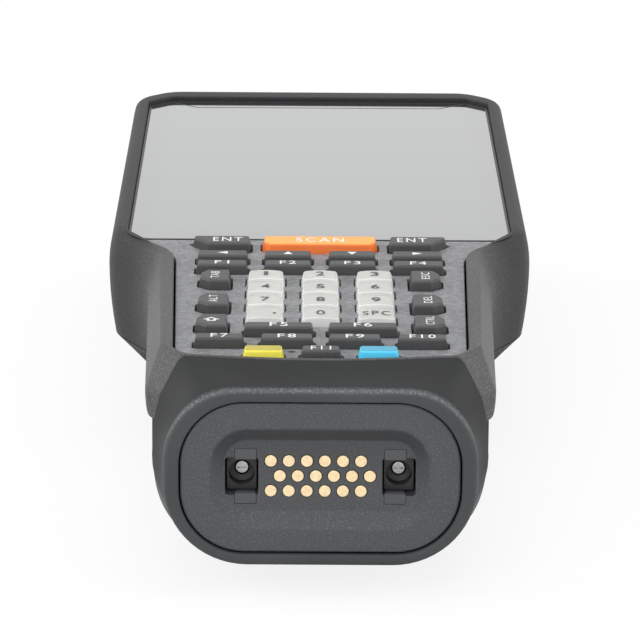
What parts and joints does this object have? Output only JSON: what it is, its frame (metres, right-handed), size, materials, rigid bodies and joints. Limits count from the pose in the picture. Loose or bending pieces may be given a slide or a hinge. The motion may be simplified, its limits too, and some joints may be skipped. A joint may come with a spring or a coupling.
{
  "type": "portable barcode data terminal",
  "caption": "Rugged handheld data terminal: wide touch display above a full keypad, contact dock in the rubber-booted end, battery in the handle, scanner at the head.",
  "frame": {"origin": "centre of the base, on the surface that the terminal lies on", "axes": "+X to the right of a user reading the display, +Y from the docking end to the scanner end, +Z out of the display"},
  "size_m": [0.0786, 0.2168, 0.0402],
  "materials": {
    "housing": "fine textured moulding",
    "bumper_rubber": "matt rubber",
    "keypad_plate": "fine sparkle texture",
    "silicone": "matt silicone",
    "circuit_board": "solder mask",
    "window_glass": "polished cover glass over a dark display",
    "display_panel": "unlit display panel",
    "dock_plastic": "fine textured moulding",
    "gold": "gold plated",
    "black_plastic": "smooth moulding",
    "screw_steel": "blackened steel",
    "battery_plastic": "fine textured moulding",
    "engine_metal": "black anodised casting",
    "scan_glass": "dark red tinted window",
    "trigger_rubber": "matt rubber",
    "lens_glass": "coated lens",
    "speaker_metal": "black can",
    "dark_key": "hard-topped key cap",
    "number_key": "hard-topped key cap",
    "orange_key": "hard-topped key cap",
    "yellow_key": "hard-topped key cap",
    "blue_key": "hard-topped key cap"
  },
  "bodies": {
    "housing": {"front_housing": "housing", "rear_housing": "housing", "end_bumper": "bumper_rubber", "keypad_bezel": "keypad_plate", "keypad_membrane": "silicone", "keypad_board": "circuit_board", "display_window": "window_glass", "display_module": "display_panel", "main_board": "circuit_board", "dock_plate": "dock_plastic", "dock_contacts": "gold", "dock_sockets": "black_plastic", "dock_screws": "screw_steel", "scan_engine": "engine_metal", "scan_window": "scan_glass", "housing_screws": "screw_steel", "rear_camera": "lens_glass", "speaker": "speaker_metal"},
    "battery_pack": {"battery_pack": "battery_plastic"},
    "battery_latch": {"battery_latch": "black_plastic"},
    "left_trigger": {"left_trigger": "trigger_rubber"},
    "right_trigger": {"right_trigger": "trigger_rubber"},
    "key_enter_left": {"key_enter_left": "dark_key"},
    "key_scan": {"key_scan": "orange_key"},
    "key_enter_right": {"key_enter_right": "dark_key"},
    "key_left": {"key_left": "dark_key"},
    "key_up": {"key_up": "dark_key"},
    "key_down": {"key_down": "dark_key"},
    "key_right": {"key_right": "dark_key"},
    "key_f1": {"key_f1": "dark_key"},
    "key_f2": {"key_f2": "dark_key"},
    "key_f3": {"key_f3": "dark_key"},
    "key_f4": {"key_f4": "dark_key"},
    "key_1": {"key_1": "number_key"},
    "key_2": {"key_2": "number_key"},
    "key_3": {"key_3": "number_key"},
    "key_4": {"key_4": "number_key"},
    "key_5": {"key_5": "number_key"},
    "key_6": {"key_6": "number_key"},
    "key_7": {"key_7": "number_key"},
    "key_8": {"key_8": "number_key"},
    "key_9": {"key_9": "number_key"},
    "key_point": {"key_point": "number_key"},
    "key_0": {"key_0": "number_key"},
    "key_space": {"key_space": "number_key"},
    "key_tab": {"key_tab": "dark_key"},
    "key_alt": {"key_alt": "dark_key"},
    "key_shift": {"key_shift": "dark_key"},
    "key_escape": {"key_escape": "dark_key"},
    "key_back": {"key_back": "dark_key"},
    "key_control": {"key_control": "dark_key"},
    "key_f5": {"key_f5": "dark_key"},
    "key_f6": {"key_f6": "dark_key"},
    "key_f7": {"key_f7": "dark_key"},
    "key_f8": {"key_f8": "dark_key"},
    "key_f9": {"key_f9": "dark_key"},
    "key_f10": {"key_f10": "dark_key"},
    "key_yellow": {"key_yellow": "yellow_key"},
    "key_f11": {"key_f11": "dark_key"},
    "key_blue": {"key_blue": "blue_key"}
  },
  "joints": [
    {"name": "press_left_trigger", "type": "slide", "parent": "housing", "child": "left_trigger", "axis": [1, 0, 0], "range_m": [0, 0.0008], "stiffness_N_per_m": 2500},
    {"name": "press_right_trigger", "type": "slide", "parent": "housing", "child": "right_trigger", "axis": [-1, 0, 0], "range_m": [0, 0.0008], "stiffness_N_per_m": 2500},
    {"name": "slide_battery_latch", "type": "slide", "parent": "housing", "child": "battery_latch", "axis": [0, 1, 0], "range_m": [0, 0.003], "stiffness_N_per_m": 400},
    {"name": "lift_off_battery_pack", "type": "slide", "parent": "housing", "child": "battery_pack", "axis": [0, 0, -1], "range_m": [0, 0.03]},
    {"name": "press_key_enter_left", "type": "slide", "parent": "housing", "child": "key_enter_left", "axis": [0, 0, -1], "range_m": [0, 0.0008], "stiffness_N_per_m": 1500},
    {"name": "press_key_scan", "type": "slide", "parent": "housing", "child": "key_scan", "axis": [0, 0, -1], "range_m": [0, 0.0008], "stiffness_N_per_m": 1500},
    {"name": "press_key_enter_right", "type": "slide", "parent": "housing", "child": "key_enter_right", "axis": [0, 0, -1], "range_m": [0, 0.0008], "stiffness_N_per_m": 1500},
    {"name": "press_key_left", "type": "slide", "parent": "housing", "child": "key_left", "axis": [0, 0, -1], "range_m": [0, 0.0008], "stiffness_N_per_m": 1500},
    {"name": "press_key_up", "type": "slide", "parent": "housing", "child": "key_up", "axis": [0, 0, -1], "range_m": [0, 0.0008], "stiffness_N_per_m": 1500},
    {"name": "press_key_down", "type": "slide", "parent": "housing", "child": "key_down", "axis": [0, 0, -1], "range_m": [0, 0.0008], "stiffness_N_per_m": 1500},
    {"name": "press_key_right", "type": "slide", "parent": "housing", "child": "key_right", "axis": [0, 0, -1], "range_m": [0, 0.0008], "stiffness_N_per_m": 1500},
    {"name": "press_key_f1", "type": "slide", "parent": "housing", "child": "key_f1", "axis": [0, 0, -1], "range_m": [0, 0.0008], "stiffness_N_per_m": 1500},
    {"name": "press_key_f2", "type": "slide", "parent": "housing", "child": "key_f2", "axis": [0, 0, -1], "range_m": [0, 0.0008], "stiffness_N_per_m": 1500},
    {"name": "press_key_f3", "type": "slide", "parent": "housing", "child": "key_f3", "axis": [0, 0, -1], "range_m": [0, 0.0008], "stiffness_N_per_m": 1500},
    {"name": "press_key_f4", "type": "slide", "parent": "housing", "child": "key_f4", "axis": [0, 0, -1], "range_m": [0, 0.0008], "stiffness_N_per_m": 1500},
    {"name": "press_key_1", "type": "slide", "parent": "housing", "child": "key_1", "axis": [0, 0, -1], "range_m": [0, 0.0008], "stiffness_N_per_m": 1500},
    {"name": "press_key_2", "type": "slide", "parent": "housing", "child": "key_2", "axis": [0, 0, -1], "range_m": [0, 0.0008], "stiffness_N_per_m": 1500},
    {"name": "press_key_3", "type": "slide", "parent": "housing", "child": "key_3", "axis": [0, 0, -1], "range_m": [0, 0.0008], "stiffness_N_per_m": 1500},
    {"name": "press_key_4", "type": "slide", "parent": "housing", "child": "key_4", "axis": [0, 0, -1], "range_m": [0, 0.0008], "stiffness_N_per_m": 1500},
    {"name": "press_key_5", "type": "slide", "parent": "housing", "child": "key_5", "axis": [0, 0, -1], "range_m": [0, 0.0008], "stiffness_N_per_m": 1500},
    {"name": "press_key_6", "type": "slide", "parent": "housing", "child": "key_6", "axis": [0, 0, -1], "range_m": [0, 0.0008], "stiffness_N_per_m": 1500},
    {"name": "press_key_7", "type": "slide", "parent": "housing", "child": "key_7", "axis": [0, 0, -1], "range_m": [0, 0.0008], "stiffness_N_per_m": 1500},
    {"name": "press_key_8", "type": "slide", "parent": "housing", "child": "key_8", "axis": [0, 0, -1], "range_m": [0, 0.0008], "stiffness_N_per_m": 1500},
    {"name": "press_key_9", "type": "slide", "parent": "housing", "child": "key_9", "axis": [0, 0, -1], "range_m": [0, 0.0008], "stiffness_N_per_m": 1500},
    {"name": "press_key_point", "type": "slide", "parent": "housing", "child": "key_point", "axis": [0, 0, -1], "range_m": [0, 0.0008], "stiffness_N_per_m": 1500},
    {"name": "press_key_0", "type": "slide", "parent": "housing", "child": "key_0", "axis": [0, 0, -1], "range_m": [0, 0.0008], "stiffness_N_per_m": 1500},
    {"name": "press_key_space", "type": "slide", "parent": "housing", "child": "key_space", "axis": [0, 0, -1], "range_m": [0, 0.0008], "stiffness_N_per_m": 1500},
    {"name": "press_key_tab", "type": "slide", "parent": "housing", "child": "key_tab", "axis": [0, 0, -1], "range_m": [0, 0.0008], "stiffness_N_per_m": 1500},
    {"name": "press_key_alt", "type": "slide", "parent": "housing", "child": "key_alt", "axis": [0, 0, -1], "range_m": [0, 0.0008], "stiffness_N_per_m": 1500},
    {"name": "press_key_shift", "type": "slide", "parent": "housing", "child": "key_shift", "axis": [0, 0, -1], "range_m": [0, 0.0008], "stiffness_N_per_m": 1500},
    {"name": "press_key_escape", "type": "slide", "parent": "housing", "child": "key_escape", "axis": [0, 0, -1], "range_m": [0, 0.0008], "stiffness_N_per_m": 1500},
    {"name": "press_key_back", "type": "slide", "parent": "housing", "child": "key_back", "axis": [0, 0, -1], "range_m": [0, 0.0008], "stiffness_N_per_m": 1500},
    {"name": "press_key_control", "type": "slide", "parent": "housing", "child": "key_control", "axis": [0, 0, -1], "range_m": [0, 0.0008], "stiffness_N_per_m": 1500},
    {"name": "press_key_f5", "type": "slide", "parent": "housing", "child": "key_f5", "axis": [0, 0, -1], "range_m": [0, 0.0008], "stiffness_N_per_m": 1500},
    {"name": "press_key_f6", "type": "slide", "parent": "housing", "child": "key_f6", "axis": [0, 0, -1], "range_m": [0, 0.0008], "stiffness_N_per_m": 1500},
    {"name": "press_key_f7", "type": "slide", "parent": "housing", "child": "key_f7", "axis": [0, 0, -1], "range_m": [0, 0.0008], "stiffness_N_per_m": 1500},
    {"name": "press_key_f8", "type": "slide", "parent": "housing", "child": "key_f8", "axis": [0, 0, -1], "range_m": [0, 0.0008], "stiffness_N_per_m": 1500},
    {"name": "press_key_f9", "type": "slide", "parent": "housing", "child": "key_f9", "axis": [0, 0, -1], "range_m": [0, 0.0008], "stiffness_N_per_m": 1500},
    {"name": "press_key_f10", "type": "slide", "parent": "housing", "child": "key_f10", "axis": [0, 0, -1], "range_m": [0, 0.0008], "stiffness_N_per_m": 1500},
    {"name": "press_key_yellow", "type": "slide", "parent": "housing", "child": "key_yellow", "axis": [0, 0, -1], "range_m": [0, 0.0008], "stiffness_N_per_m": 1500},
    {"name": "press_key_f11", "type": "slide", "parent": "housing", "child": "key_f11", "axis": [0, 0, -1], "range_m": [0, 0.0008], "stiffness_N_per_m": 1500},
    {"name": "press_key_blue", "type": "slide", "parent": "housing", "child": "key_blue", "axis": [0, 0, -1], "range_m": [0, 0.0008], "stiffness_N_per_m": 1500}
  ]
}
